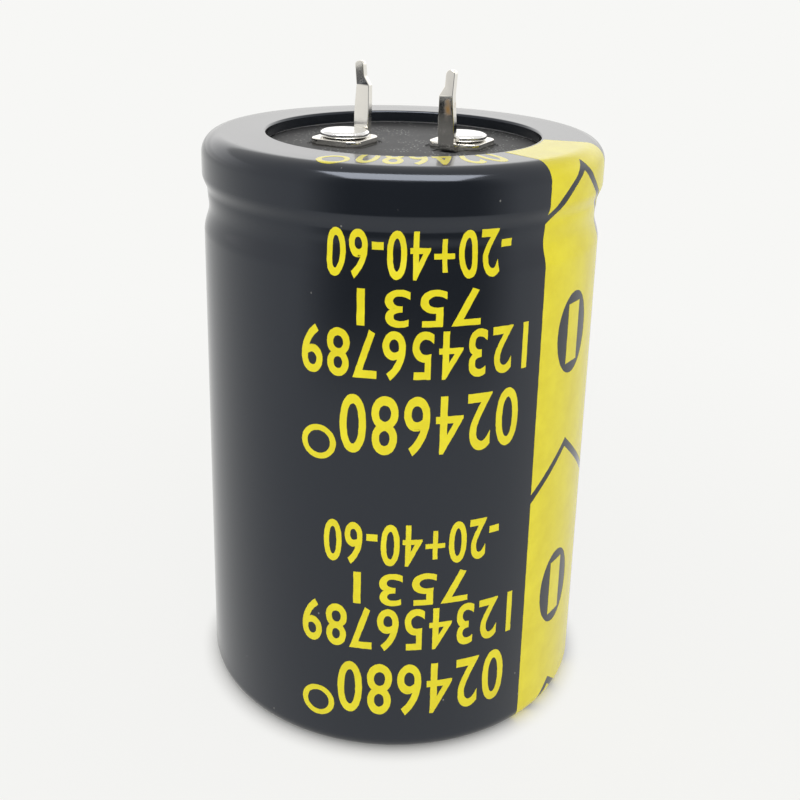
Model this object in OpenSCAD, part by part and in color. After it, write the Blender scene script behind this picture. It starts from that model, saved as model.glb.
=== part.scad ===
// Snap-in electrolytic capacitor, standing on its closed end with the two pins up.
// Z is the can's axis, z = 0 is the plane it stands on, and the pins lie along X,
// the negative one on the +X side. All sizes are in millimetres.

/* [Can] */
// Outside diameter of the drawn can
can_d = 35; // [33:0.5:38]
// Height of the can from its closed end to the top of its rolled rim
can_h = 51.3; // [48:0.1:60]
// Wall thickness of the can
can_wall = 0.5; // [0.4:0.05:0.6]
// Thickness of the closed end
end_t = 0.8; // [0.6:0.1:1.2]
// Outside radius of the corner at the closed end
foot_r = 1.2; // [1:0.1:1.8]
// Outside radius of the shoulder between the wall and the rolled rim
shoulder_r = 1.5; // [1.2:0.1:2]
// Radius of the opening inside the rolled rim
rim_open_r = 12.45; // [12:0.05:13.5]
// Outside radius of the rim's tight inner edge
rim_turn_r = 0.15; // [0.1:0.05:0.3]
// How far the rim stands out past the wall below the groove
rim_swell = 0.1; // [0:0.05:0.2]
// Depth of the sealing deck below the top of the rim
deck_drop = 0.95; // [0.8:0.05:1.4]

/* [Groove] */
// Depth of the shallow neck that the film follows
neck_depth = 0.45; // [0.3:0.05:0.6]
// Height of the neck's level floor
neck_floor = 1.4; // [1:0.1:1.8]
// Height of the neck's flank towards the rim
neck_up = 1.6; // [1.3:0.1:1.8]
// Height of the neck's flank towards the closed end
neck_down = 2.2; // [1.6:0.1:3]
// Extra depth of the rolled bead in the middle of the neck
bead_depth = 0.7; // [0.4:0.05:0.9]
// Height of the rolled bead
bead_w = 3.2; // [2.6:0.1:3.4]

/* [Vent] */
// Length of each scored line of the vent, from the middle of the closed end
vent_arm = 8.5; // [6:0.5:12]
// Width of a scored line
vent_line_w = 0.5; // [0.3:0.1:0.8]
// Depth of a scored line
vent_line_depth = 0.35; // [0.2:0.05:0.45]

/* [Sleeve] */
// Thickness of the shrunk film
film_t = 0.25; // [0.15:0.05:0.3]
// Radius of the hole that the film leaves at the closed end
film_hole_r = 14.2; // [12:0.1:15]
// Gap between the film's inner edge and the sealing deck
film_edge_gap = 0.15; // [0.05:0.05:0.3]

/* [Print] */
// Depth of the ink in the film
ink_t = 0.08; // [0.05:0.01:0.12]
// Width of the polarity stripe, measured round the sleeve
stripe_w = 11; // [8:0.5:13]
// Turn of the stripe from the line of the pins, in degrees
stripe_turn = 5; // [-5:1:5]
// Height at which the print repeats
print_pitch = 24.5; // [22:0.1:26]
// Height of the foot of the middle chevron
chevron_foot = 22; // [20:0.1:24]
// Rise of a chevron to its point, over half the stripe's width
chevron_rise = 4.6; // [2.5:0.1:5]
// Upright thickness of a chevron's line
chevron_line = 0.85; // [0.5:0.05:1]
// Number of chevrons
chevrons = 3; // [1:1:3]
// Height from a chevron's foot to the middle of the minus mark above it
mark_rise = 14.7; // [12:0.1:15]
// Sideways place of the chevrons' points and the minus marks from the stripe's middle
mark_shift = -0.8; // [-1.5:0.1:1.5]
// Width of the dark oval of a minus mark
oval_w = 5; // [3.6:0.1:5.6]
// Height of the dark oval of a minus mark
oval_h = 7.4; // [6:0.1:8.4]
// Width of the bar inside a minus mark
bar_w = 1.9; // [1.2:0.1:2.2]
// Height of the bar inside a minus mark
bar_h = 5.3; // [4.4:0.1:5.8]

/* [Seal] */
// Thickness of the rubber facing
rubber_t = 1.55; // [1.3:0.05:2]
// Radial clearance of the rubber in the rim
rubber_fit = 0.02; // [0.02:0.01:0.1]
// Thickness of the board below the rubber
board_t = 1.9; // [1.6:0.05:2.4]
// Radial clearance of the board in the neck
board_fit = 0.1; // [0.05:0.05:0.2]
// Height above the middle of the bead at which the board rests on it
seat_rise = 1.1; // [1:0.05:1.3]
// Depth of the wells that the terminals sit in
well_depth = 0.15; // [0.1:0.05:0.6]
// Clearance round a terminal in its well
well_gap = 0.4; // [0.3:0.05:0.6]

/* [Terminals] */
// Distance between the two pins
pin_pitch = 10; // [9:0.1:12]
// Side of the square plate under the rivet's head
plate_w = 4.9; // [4.5:0.1:5.4]
// Radius of the plate's corners
plate_corner_r = 1.1; // [0.6:0.1:2]
// Thickness of the plate and of the blade bent up from it
plate_t = 0.7; // [0.6:0.05:1]
// Distance from the rivet to the middle of the blade
blade_reach = 3.2; // [2.8:0.05:3.4]
// Direction from the rivet to the blade, in degrees from the line of the pins
blade_turn = -80; // [-90:1:-60]
// Width of the blade at its foot
blade_w = 1.5; // [1.4:0.05:1.9]
// How much each side of the blade draws in up to the kink
blade_waist = 0.1; // [0:0.05:0.2]
// Width of the blade's narrow end
tip_w = 0.85; // [0.7:0.05:1]
// Height of the pins above the top of the rim
pin_h = 5.8; // [5:0.05:7]
// Length of the narrow end, which leans back
tip_len = 2.2; // [1.6:0.1:2.6]
// Length over which the blade narrows
taper_len = 0.8; // [0.5:0.1:1.2]
// Outward lean of the blade below its kink, in degrees
lean_out = 4; // [0:0.5:6]
// Backward lean of the narrow end, in degrees
lean_back = 9; // [4:0.5:12]
// Inside radius of the bend between plate and blade
bend_r = 0.15; // [0.1:0.05:0.2]

/* [Rivets] */
// Radius of the rivet's shank
shank_r = 1.2; // [1:0.05:1.4]
// Clearance of the shank in its holes
shank_fit = 0.02; // [0.01:0.01:0.05]
// Radius of the rivet's outer head
head_r = 2.2; // [2:0.05:2.3]
// Height of the rivet's outer head
head_t = 0.6; // [0.4:0.05:0.7]
// Height of the undercut below the rim of the outer head
undercut_h = 0.15; // [0.1:0.05:0.2]
// Depth of the undercut
undercut_in = 0.3; // [0.2:0.05:0.4]
// Radius of the peened head inside the can
peen_r = 2; // [1.7:0.05:2.3]
// Height of the peened head inside the can
peen_t = 0.7; // [0.5:0.05:0.9]
// Radius of the washer inside the can
washer_r = 2.7; // [2.4:0.05:3]
// Thickness of the washer inside the can
washer_t = 0.5; // [0.4:0.05:0.6]

/* [Winding] */
// Gap between the wound element and the can's wall
winding_gap = 1.1; // [0.8:0.1:2.5]
// Diameter of the hole left by the winding mandrel
mandrel_d = 4; // [3:0.1:6]
// Room for the lead tabs between the winding and the board
tab_room = 4.15; // [4:0.05:6]
// Thickness of the closing tape
tape_t = 0.15; // [0.1:0.05:0.3]
// Height of the closing tape
tape_h = 24; // [12:1:32]
// Width of a lead tab
tab_w = 4; // [3:0.1:4.6]
// Thickness of a lead tab
tab_t = 0.3; // [0.2:0.05:0.4]
// Reach of a lead tab from the rivet to where it turns down
tab_reach = 4.4; // [3.8:0.1:5.5]
// Outside radius of a lead tab's bend
tab_bend_r = 1; // [0.8:0.1:1.4]

/* [Hidden] */
$fn = 96;

can_r = can_d / 2;
rim_r = can_r + rim_swell;
can_top = film_t + can_h;

// Heights of the sealing disc and of the bead that carries it
deck_z = can_top - deck_drop;
rubber_z = deck_z - rubber_t;
board_z = rubber_z - board_t;
bead_z = board_z - seat_rise;
neck_low_z = bead_z - neck_floor / 2 - neck_down;
neck_high_z = bead_z + neck_floor / 2 + neck_up;
floor_z = film_t + end_t;

rubber_r = rim_r - can_wall - rubber_fit;
board_r = rim_r - can_wall - neck_depth - board_fit;

// Terminals and rivets
tip_side = blade_w / 2 - blade_waist - tip_w / 2;
blade_foot = [pin_pitch / 2, 0] - tip_side * [-sin(blade_turn), cos(blade_turn)];
rivet_at = blade_foot - blade_reach * [cos(blade_turn), sin(blade_turn)];
plate_z = deck_z - well_depth;
head_z = plate_z + plate_t;
pin_top_z = can_top + film_t + pin_h;
kink_z = pin_top_z - tip_len;
hole_r = shank_r + shank_fit;
tab_z = board_z - tab_t;
washer_z = tab_z - washer_t;
peen_z = washer_z - peen_t;

winding_r = can_r - can_wall - winding_gap;
winding_top_z = board_z - tab_room;

// Print
sleeve_r = can_r + film_t;
stripe_deg = 360 * stripe_w / (2 * PI * sleeve_r);
clear = 0.3;

arc_steps = 8;
groove_steps = 28;

// Points of an arc about c from angle a0 to a1
function arc(c, r, a0, a1, n = arc_steps) =
    [for (i = [0 : n]) let (a = a0 + (a1 - a0) * i / n) c + r * [cos(a), sin(a)]];

// A smooth hump of height 1 about the bead: level over floor_h, then falling away
function hump(z, floor_h, up, down) =
    let (
        d = z - bead_z,
        past = abs(d) - floor_h / 2,
        flank = d > 0 ? up : down
    )
    past <= 0 ? 1 : past >= flank ? 0 : (1 + cos(180 * past / flank)) / 2;

// Radius at height z of a surface that follows the wall at the distance off outside it
function neck_r(z, off) =
    (z > bead_z ? rim_r : can_r) + off - neck_depth * hump(z, neck_floor, neck_up, neck_down);
function bead_r(z, off) = neck_r(z, off) - bead_depth * hump(z, 0, bead_w / 2, bead_w / 2);

// Heights at which the groove is drawn, from its lower end to its upper end
groove_z = [for (i = [0 : groove_steps]) neck_low_z + (neck_high_z - neck_low_z) * i / groove_steps];

// The outer surface of the film, or a surface at the depth inset inside it, as
// points [radius, height] from the edge inside the rim down to the closed end.
// Both ends run on by run_out past the film's edges
function film_line(inset, run_out = 0) =
    let (off = film_t - inset)
    concat(
        [[rim_open_r - off, deck_z + film_edge_gap - run_out]],
        arc([rim_open_r + rim_turn_r, can_top - rim_turn_r], rim_turn_r + off, 180, 90),
        arc([rim_r - shoulder_r, can_top - shoulder_r], shoulder_r + off, 90, 0),
        [for (i = [groove_steps : -1 : 0]) [neck_r(groove_z[i], off), groove_z[i]]],
        arc([can_r - foot_r, film_t + foot_r], foot_r + off, 0, -90),
        [[film_hole_r - run_out, film_t - off]]
    );

function reversed(p) = [for (i = [len(p) - 1 : -1 : 0]) p[i]];

module sleeve_blank() {
    rotate_extrude() polygon(concat(film_line(0), reversed(film_line(film_t))));
}

// The stripe's share of the film's skin, open to the outside of the sleeve
module stripe_skin() {
    rotate([0, 0, -stripe_deg / 2])
        rotate_extrude(angle = stripe_deg)
        polygon(concat(film_line(-clear, clear), reversed(film_line(ink_t, clear))));
}

// A flat shape in the print, pushed through the sleeve's wall on the stripe's side
module through_stripe() {
    rotate([90, 0, 90]) translate([0, 0, can_r - foot_r]) linear_extrude(2 * foot_r) children();
}

module chevron(foot_z) {
    w = stripe_w;
    fall = 2 * chevron_rise;
    half = chevron_line / 2;
    translate([mark_shift, foot_z + chevron_rise])
        polygon([
            [-w, -fall - half], [0, -half], [w, -fall - half],
            [w, -fall + half], [0, half], [-w, -fall + half]
        ]);
}

module oval(mid_z) {
    translate([mark_shift, mid_z])
        polygon([for (a = [0 : 12 : 348]) [oval_w / 2 * cos(a), oval_h / 2 * sin(a)]]);
}

module bar(mid_z) {
    translate([mark_shift, mid_z]) square([bar_w, bar_h], center = true);
}

// Foot height of the chevron with the number i, counted down from the rim
function foot_of(i) = chevron_foot + (1 - i) * print_pitch;

// The space that the stripe's ink takes up, open to the outside of the sleeve
module ink_space() {
    difference() {
        stripe_skin();
        for (i = [0 : chevrons - 1]) through_stripe() chevron(foot_of(i));
        for (i = [1 : chevrons - 1]) through_stripe() oval(foot_of(i) + mark_rise);
    }
    for (i = [1 : chevrons - 1])
        intersection() {
            stripe_skin();
            through_stripe() bar(foot_of(i) + mark_rise);
        }
}

module sleeve() {
    color([0.13, 0.13, 0.14])
        difference() {
            sleeve_blank();
            rotate([0, 0, stripe_turn]) ink_space();
        }
}

module polarity_print() {
    color([0.9, 0.86, 0.2])
        intersection() {
            sleeve_blank();
            rotate([0, 0, stripe_turn]) ink_space();
        }
}

// Drawn can with its rolled bead, rolled rim and closed end
module can_section() {
    outer = concat(
        [[0, film_t]],
        arc([can_r - foot_r, film_t + foot_r], foot_r, -90, 0),
        [for (z = groove_z) [bead_r(z, 0), z]],
        arc([rim_r - shoulder_r, can_top - shoulder_r], shoulder_r, 0, 90),
        arc([rim_open_r + rim_turn_r, can_top - rim_turn_r], rim_turn_r, 90, 180)
    );
    inner = concat(
        [
            [rim_open_r, deck_z],
            [rim_open_r + can_wall, deck_z],
            [rim_open_r + can_wall, can_top - can_wall]
        ],
        arc([rim_r - shoulder_r, can_top - shoulder_r], shoulder_r - can_wall, 90, 0),
        [for (z = reversed(groove_z)) [bead_r(z, -can_wall), z]],
        arc([can_r - foot_r, film_t + foot_r], foot_r - can_wall, 0, -45),
        [[can_r - foot_r, floor_z], [0, floor_z]]
    );
    polygon(concat(outer, inner));
}

module can() {
    color([0.8, 0.81, 0.82])
        difference() {
            rotate_extrude() can_section();
            for (turn = [0 : 120 : 240])
                rotate([0, 0, turn])
                    translate([0, -vent_line_w / 2, film_t - clear])
                    cube([vent_arm, vent_line_w, clear + vent_line_depth]);
        }
}

// Both terminals are alike, the positive one turned half a turn about the axis
module at_terminal(turn) {
    rotate([0, 0, turn])
        translate([rivet_at[0], rivet_at[1], 0])
        rotate([0, 0, blade_turn])
        children();
}

// Block with a square outline and rounded corners, about the Z axis
module rounded_square(side, corner_r, h) {
    in = side / 2 - corner_r;
    linear_extrude(h)
        polygon([
            for (quarter = [0 : 3])
                each arc(
                    in * [quarter % 3 == 0 ? 1 : -1, quarter < 2 ? 1 : -1],
                    corner_r, 90 * quarter, 90 * (quarter + 1)
                )
        ]);
}

module rivet_holes(z, h) {
    for (turn = [0, 180])
        at_terminal(turn) translate([0, 0, z - clear]) cylinder(r = hole_r, h = h + 2 * clear);
}

// Rubber facing, narrowed towards its top so that it clears the inside of the shoulder
module rubber_seal() {
    slot_w = blade_w + 2 * well_gap;
    slot_len = blade_reach + plate_t / 2 + well_gap;
    into_shoulder = max(0, deck_z - (can_top - shoulder_r));
    shoulder_in_r = shoulder_r - can_wall;
    top_r = rubber_r - shoulder_in_r + sqrt(pow(shoulder_in_r, 2) - pow(into_shoulder, 2));
    color([0.2, 0.2, 0.21])
        difference() {
            rotate_extrude()
                polygon([
                    [0, rubber_z],
                    [rubber_r, rubber_z],
                    [rubber_r, rubber_z + rubber_t / 2],
                    [top_r, deck_z],
                    [0, deck_z]
                ]);
            rivet_holes(rubber_z, rubber_t);
            for (turn = [0, 180])
                at_terminal(turn)
                    translate([0, 0, plate_z])
                    union() {
                        rounded_square(plate_w + 2 * well_gap, plate_corner_r + well_gap, well_depth + clear);
                        translate([0, -slot_w / 2, 0]) cube([slot_len, slot_w, well_depth + clear]);
                    }
        }
}

module sealing_board() {
    color([0.42, 0.24, 0.12])
        difference() {
            translate([0, 0, board_z]) cylinder(r = board_r, h = board_t);
            rivet_holes(board_z, board_t);
        }
}

// Side view of the terminal's blade: out from the rivet, up, out to the kink and back
module blade_side() {
    half = plate_t / 2;
    kink_out = tan(lean_out) * (kink_z - head_z);
    tip_in = tan(lean_back) * tip_len;
    outer_r = bend_r + plate_t;
    polygon(concat(
        [[0, plate_z]],
        arc([blade_reach + half - outer_r, plate_z + outer_r], outer_r, -90, 0),
        [
            [blade_reach + half + kink_out, kink_z],
            [blade_reach + half + kink_out - tip_in, pin_top_z],
            [blade_reach - half + kink_out - tip_in, pin_top_z],
            [blade_reach - half + kink_out, kink_z]
        ],
        arc([blade_reach - half - bend_r, head_z + bend_r], bend_r, 0, -90),
        [[0, head_z]]
    ));
}

// Front view of the blade: it draws in up to the kink, and above that it narrows on the
// side of the other pin, to a round tip
module blade_front() {
    half = blade_w / 2;
    waist = half - blade_waist;
    waist_z = (head_z + kink_z) / 2;
    tip_r = tip_w / 2;
    polygon(concat(
        [[-half, plate_z], [half, plate_z], [half, waist_z], [waist, kink_z]],
        arc([tip_side, pin_top_z - tip_r], tip_r, 0, 180, 2 * arc_steps),
        [[waist - tip_w, kink_z + taper_len], [-waist, kink_z], [-half, waist_z]]
    ));
}

module terminal() {
    far = blade_reach + 2 * plate_t;
    difference() {
        union() {
            translate([0, 0, plate_z]) rounded_square(plate_w, plate_corner_r, plate_t);
            intersection() {
                rotate([90, 0, 0])
                    translate([0, 0, -blade_w])
                    linear_extrude(2 * blade_w) blade_side();
                rotate([90, 0, 90]) linear_extrude(far) blade_front();
            }
        }
        translate([0, 0, plate_z - clear]) cylinder(r = hole_r, h = plate_t + 2 * clear);
    }
}

module terminal_negative() {
    color([0.78, 0.77, 0.74]) at_terminal(0) terminal();
}

module terminal_positive() {
    color([0.78, 0.77, 0.74]) at_terminal(180) terminal();
}

// Rivet with a flat outer head, a shank and a head peened over inside the can
module rivet() {
    shank_len = head_z - peen_z - peen_t;
    edge = 0.12 * head_r;
    rotate_extrude()
        polygon([
            [0, peen_z],
            [peen_r - peen_t / 3, peen_z],
            [peen_r, peen_z + peen_t / 3],
            [peen_r, peen_z + peen_t],
            [shank_r, peen_z + peen_t],
            [shank_r, peen_z + peen_t + shank_len],
            [head_r - undercut_in, head_z],
            [head_r, head_z + undercut_h],
            [head_r, head_z + head_t - edge / 2],
            [head_r - edge, head_z + head_t],
            [0, head_z + head_t]
        ]);
}

module rivet_negative() {
    color([0.88, 0.88, 0.87]) at_terminal(0) rivet();
}

module rivet_positive() {
    color([0.88, 0.88, 0.87]) at_terminal(180) rivet();
}

module washer() {
    translate([0, 0, washer_z])
        difference() {
            cylinder(r = washer_r, h = washer_t);
            translate([0, 0, -clear]) cylinder(r = hole_r, h = washer_t + 2 * clear);
        }
}

module washer_negative() {
    color([0.75, 0.76, 0.77]) at_terminal(0) washer();
}

module washer_positive() {
    color([0.75, 0.76, 0.77]) at_terminal(180) washer();
}

// Aluminium strip from the winding's end face up to the rivet, under the board
module tab() {
    inner_r = tab_bend_r - tab_t;
    bend_at = [tab_reach - tab_bend_r, board_z - tab_bend_r];
    difference() {
        union() {
            rotate([90, 0, 0])
                translate([0, 0, -tab_w / 2])
                linear_extrude(tab_w)
                polygon(concat(
                    [[0, tab_z], [0, board_z]],
                    arc(bend_at, tab_bend_r, 90, 0),
                    [[tab_reach, winding_top_z], [tab_reach - tab_t, winding_top_z]],
                    arc(bend_at, inner_r, 0, 90)
                ));
            translate([0, 0, tab_z]) cylinder(d = tab_w, h = tab_t);
        }
        translate([0, 0, tab_z - clear]) cylinder(r = hole_r, h = tab_t + 2 * clear);
    }
}

// The tabs turn down away from the middle of the can
module at_tab(turn) {
    rotate([0, 0, turn]) translate([rivet_at[0], rivet_at[1], 0]) rotate([0, 0, 90]) children();
}

module tab_negative() {
    color([0.82, 0.83, 0.84]) at_tab(0) tab();
}

module tab_positive() {
    color([0.82, 0.83, 0.84]) at_tab(180) tab();
}

// Foil and paper rolled up on a mandrel, which leaves the hole
module winding() {
    color([0.86, 0.82, 0.72])
        translate([0, 0, floor_z])
        difference() {
            cylinder(r = winding_r, h = winding_top_z - floor_z);
            translate([0, 0, -clear]) cylinder(d = mandrel_d, h = winding_top_z - floor_z + 2 * clear);
        }
}

module winding_tape() {
    color([0.85, 0.7, 0.35])
        translate([0, 0, (floor_z + winding_top_z - tape_h) / 2])
        difference() {
            cylinder(r = winding_r + tape_t, h = tape_h);
            translate([0, 0, -clear]) cylinder(r = winding_r, h = tape_h + 2 * clear);
        }
}

can();
sleeve();
polarity_print();
rubber_seal();
sealing_board();
terminal_negative();
terminal_positive();
rivet_negative();
rivet_positive();
washer_negative();
washer_positive();
tab_negative();
tab_positive();
winding();
winding_tape();
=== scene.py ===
"""Snap-in electrolytic capacitor, dressed for the picture.

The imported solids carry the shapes. This script gives each of them its finish, and lets a
smooth spun film and thin printed ink stand for the faceted sleeve and its inlaid stripe. It
rounds the edges of the stamped, riveted and moulded pieces, and sets up a pale studio with
the camera at the photograph's angle. Sizes are in millimetres until a mesh is finished.
"""

import logging
import math
from dataclasses import dataclass, field
from enum import Enum
from typing import Iterator

import bmesh
import bpy
from mathutils import Matrix, Vector, noise


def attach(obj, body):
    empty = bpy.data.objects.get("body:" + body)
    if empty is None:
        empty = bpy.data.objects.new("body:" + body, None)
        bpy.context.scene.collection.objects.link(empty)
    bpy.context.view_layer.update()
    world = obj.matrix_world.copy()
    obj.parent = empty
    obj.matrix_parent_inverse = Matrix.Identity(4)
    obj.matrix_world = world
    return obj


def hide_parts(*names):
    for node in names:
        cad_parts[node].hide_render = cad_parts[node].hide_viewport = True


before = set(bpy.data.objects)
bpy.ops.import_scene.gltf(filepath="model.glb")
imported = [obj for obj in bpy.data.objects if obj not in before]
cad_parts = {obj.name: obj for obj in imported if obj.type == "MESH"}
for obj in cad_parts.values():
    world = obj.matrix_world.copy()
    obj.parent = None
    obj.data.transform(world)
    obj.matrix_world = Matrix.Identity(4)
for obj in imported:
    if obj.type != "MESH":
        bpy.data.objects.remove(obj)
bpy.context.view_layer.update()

LOG = logging.getLogger("capacitor")
MM = 0.001
# Distance in millimetres within which points are one
ONE_POINT = 1e-5
# Without a seed of its own, the ink's noise would start from the clock
NOISE_SEED = 7
BODY = "root"

# The camera looks along +Y of the studio, and the studio is turned about Z to the part
STUDIO_TURN = math.radians(36.7)

Colour = tuple[float, float, float, float]
Point = tuple[float, float]
Place = tuple[float, float, float]
Tree = bpy.types.NodeTree
Node = bpy.types.Node
Socket = bpy.types.NodeSocket
Material = bpy.types.Material
Object = bpy.types.Object
BMesh = bmesh.types.BMesh
Vert = bmesh.types.BMVert
Inputs = dict[str | int, object]

# Sockets of a node that mixes colours
SHARE, FIRST, SECOND = 0, 6, 7


def linear(hex_colour: str) -> Colour:
    """Turns an sRGB hex colour into linear light.

    Args:
        hex_colour: The colour as "#rrggbb".

    Returns:
        Red, green, blue and an alpha of 1.
    """
    parts = [int(hex_colour[i : i + 2], 16) / 255 for i in (1, 3, 5)]
    red, green, blue = (
        c / 12.92 if c <= 0.04045 else ((c + 0.055) / 1.055) ** 2.4 for c in parts
    )
    return red, green, blue, 1.0


def per_size(size: float) -> float:
    """Gives the scale of a texture whose features are size millimetres across."""
    return 1 / (size * MM)


def link_object(name: str, data: bpy.types.ID) -> Object:
    """Makes an object of some data, and puts it in the scene.

    Args:
        name: The object's name.
        data: A mesh, a curve, a camera or a lamp.

    Returns:
        The object.
    """
    made = bpy.data.objects.new(name, data)
    bpy.context.scene.collection.objects.link(made)
    return made


def mesh_object(name: str, mesh: BMesh, material: Material) -> Object:
    """Makes an object of a mesh.

    Args:
        name: Its name.
        mesh: Its mesh, in metres, which is freed.
        material: Its material.

    Returns:
        The object.
    """
    data = bpy.data.meshes.new(name)
    mesh.to_mesh(data)
    mesh.free()
    data.materials.append(material)
    return link_object(name, data)


def speckle(place: Node | Socket, size: float, detail: float) -> Inputs:
    """Gives a noise's inputs for features that are size millimetres across."""
    return {"Vector": place, "Scale": per_size(size), "Detail": detail}


def ramp(
    value: Node | Socket, start: float, end: float, low: float = 0.0, high: float = 1.0
) -> Inputs:
    """Gives the inputs that map a value from one span to another.

    Args:
        value: What is mapped.
        start: Where the value gives low.
        end: Where it gives high.
        low: First end of the result.
        high: Last end of the result.

    Returns:
        The inputs.
    """
    ends = {"From Min": start, "From Max": end, "To Min": low, "To Max": high}
    return {"Value": value, **ends}


def feed(tree: Tree, node: Node, inputs: Inputs) -> None:
    """Sets a node's inputs.

    Args:
        tree: The tree that holds the node.
        node: The node.
        inputs: By name or number, a plain value, a socket, or a node for its first output.
    """
    for key, value in inputs.items():
        if isinstance(value, Node):
            value = next(out for out in value.outputs if out.enabled)
        if isinstance(value, Socket):
            tree.links.new(value, node.inputs[key])
        else:
            node.inputs[key].default_value = value


def add_node(
    tree: Tree, kind: str, inputs: Inputs | None = None, **settings: object
) -> Node:
    """Adds one shader node.

    Args:
        tree: The tree that gets the node.
        kind: Blender's name for the node's type, without its prefix.
        inputs: What its inputs get.
        **settings: The node's own settings.

    Returns:
        The new node.
    """
    node = tree.nodes.new(f"ShaderNode{kind}")
    for name, value in settings.items():
        setattr(node, name, value)
    feed(tree, node, inputs or {})
    return node


def from_axis(tree: Tree, place: Socket) -> Node:
    """Measures the distance from the can's axis.

    Args:
        tree: The material's nodes.
        place: Object coordinates, in metres.

    Returns:
        The node that gives the distance, in metres.
    """
    flat = add_node(tree, "VectorMath", {0: place, 1: (1, 1, 0)}, operation="MULTIPLY")
    return add_node(tree, "VectorMath", {0: flat}, operation="LENGTH")


@dataclass(frozen=True)
class Finish:
    """A real surface: what it is made of and how its skin was made."""

    name: str
    colour: str
    roughness: float
    metallic: float = 0.0
    ior: float = 1.5
    sheen: str = "#ffffff"

    def material(self) -> Material:
        """Makes the material, or finds the one that was made before.

        Returns:
            The material, with its pattern in nodes.
        """
        made = bpy.data.materials.get(self.name)
        if made:
            return made
        made = bpy.data.materials.new(self.name)
        made.use_nodes = True
        tree = made.node_tree
        shader = tree.nodes["Principled BSDF"]
        constants = {
            "Base Color": linear(self.colour),
            "Roughness": self.roughness,
            "Metallic": self.metallic,
            "IOR": self.ior,
            "Specular Tint": linear(self.sheen),
        }
        feed(tree, shader, constants)
        self.pattern(tree, shader, add_node(tree, "TexCoord").outputs["Object"])
        return made

    def pattern(self, tree: Tree, shader: Node, place: Socket) -> None:
        """Draws the surface's own pattern.

        Args:
            tree: The material's nodes.
            shader: Its principled shader.
            place: Object coordinates, in metres.
        """


@dataclass(frozen=True)
class ShrunkFilm(Finish):
    """Black PVC film, shrunk on with hot air: glossy, faintly wavy, with a little dust."""

    wave: float = 9.0
    wave_height: float = 0.012
    grain: float = 0.5
    grain_height: float = 0.0006
    speck_spacing: float = 2.6
    speck_radius: float = 0.085
    speck_core: float = 0.6
    speck_stretch: float = 0.7
    dust: str = "#7b7a76"
    dust_roughness: float = 0.7

    def pattern(self, tree: Tree, shader: Node, place: Socket) -> None:
        """Bends the reflections with waves and grain, and breaks the gloss with dust.

        Args:
            tree: The material's nodes.
            shader: Its principled shader.
            place: Object coordinates, in metres.
        """
        waves = add_node(tree, "TexNoise", speckle(place, self.wave, 1.0))
        grain = add_node(tree, "TexNoise", speckle(place, self.grain, 2.0))
        low = add_node(tree, "Bump", {"Height": waves, "Distance": self.wave_height * MM})
        fine = {"Height": grain, "Normal": low, "Distance": self.grain_height * MM}
        skin = add_node(tree, "Bump", fine)
        drawn_out = add_node(
            tree, "Mapping", {"Vector": place, "Scale": (1.0, 1.0, self.speck_stretch)}
        )
        cells = add_node(
            tree, "TexVoronoi", {"Vector": drawn_out, "Scale": per_size(self.speck_spacing)}
        )
        edge = self.speck_radius / self.speck_spacing
        speck = add_node(tree, "MapRange", ramp(cells, edge, self.speck_core * edge))
        tints = {SHARE: speck, FIRST: linear(self.colour), SECOND: linear(self.dust)}
        tone = add_node(tree, "Mix", tints, data_type="RGBA")
        levels = ramp(speck, 0.0, 1.0, self.roughness, self.dust_roughness)
        dull = add_node(tree, "MapRange", levels)
        feed(tree, shader, {"Base Color": tone, "Roughness": dull, "Normal": skin})


@dataclass(frozen=True)
class PrintedInk(Finish):
    """Ink printed on the film before it was shrunk: a little uneven in its cover."""

    thin: str = "#eadb14"
    cloud: float = 2.5
    cloud_roughness: float = 0.6
    clouds_between: Point = (0.35, 0.65)
    grain: float = 0.16
    grain_height: float = 0.0015

    def pattern(self, tree: Tree, shader: Node, place: Socket) -> None:
        """Draws the cloudy cover and the fine grain that the printing roller leaves.

        Args:
            tree: The material's nodes.
            shader: Its principled shader.
            place: Object coordinates, in metres.
        """
        soft = {"Roughness": self.cloud_roughness}
        clouds = add_node(tree, "TexNoise", speckle(place, self.cloud, 4.0) | soft)
        cover = add_node(tree, "MapRange", ramp(clouds, *self.clouds_between))
        tints = {SHARE: cover, FIRST: linear(self.colour), SECOND: linear(self.thin)}
        tone = add_node(tree, "Mix", tints, data_type="RGBA")
        grain = add_node(tree, "TexNoise", speckle(place, self.grain, 1.0))
        skin = add_node(tree, "Bump", {"Height": grain, "Distance": self.grain_height * MM})
        feed(tree, shader, {"Base Color": tone, "Normal": skin})


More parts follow.
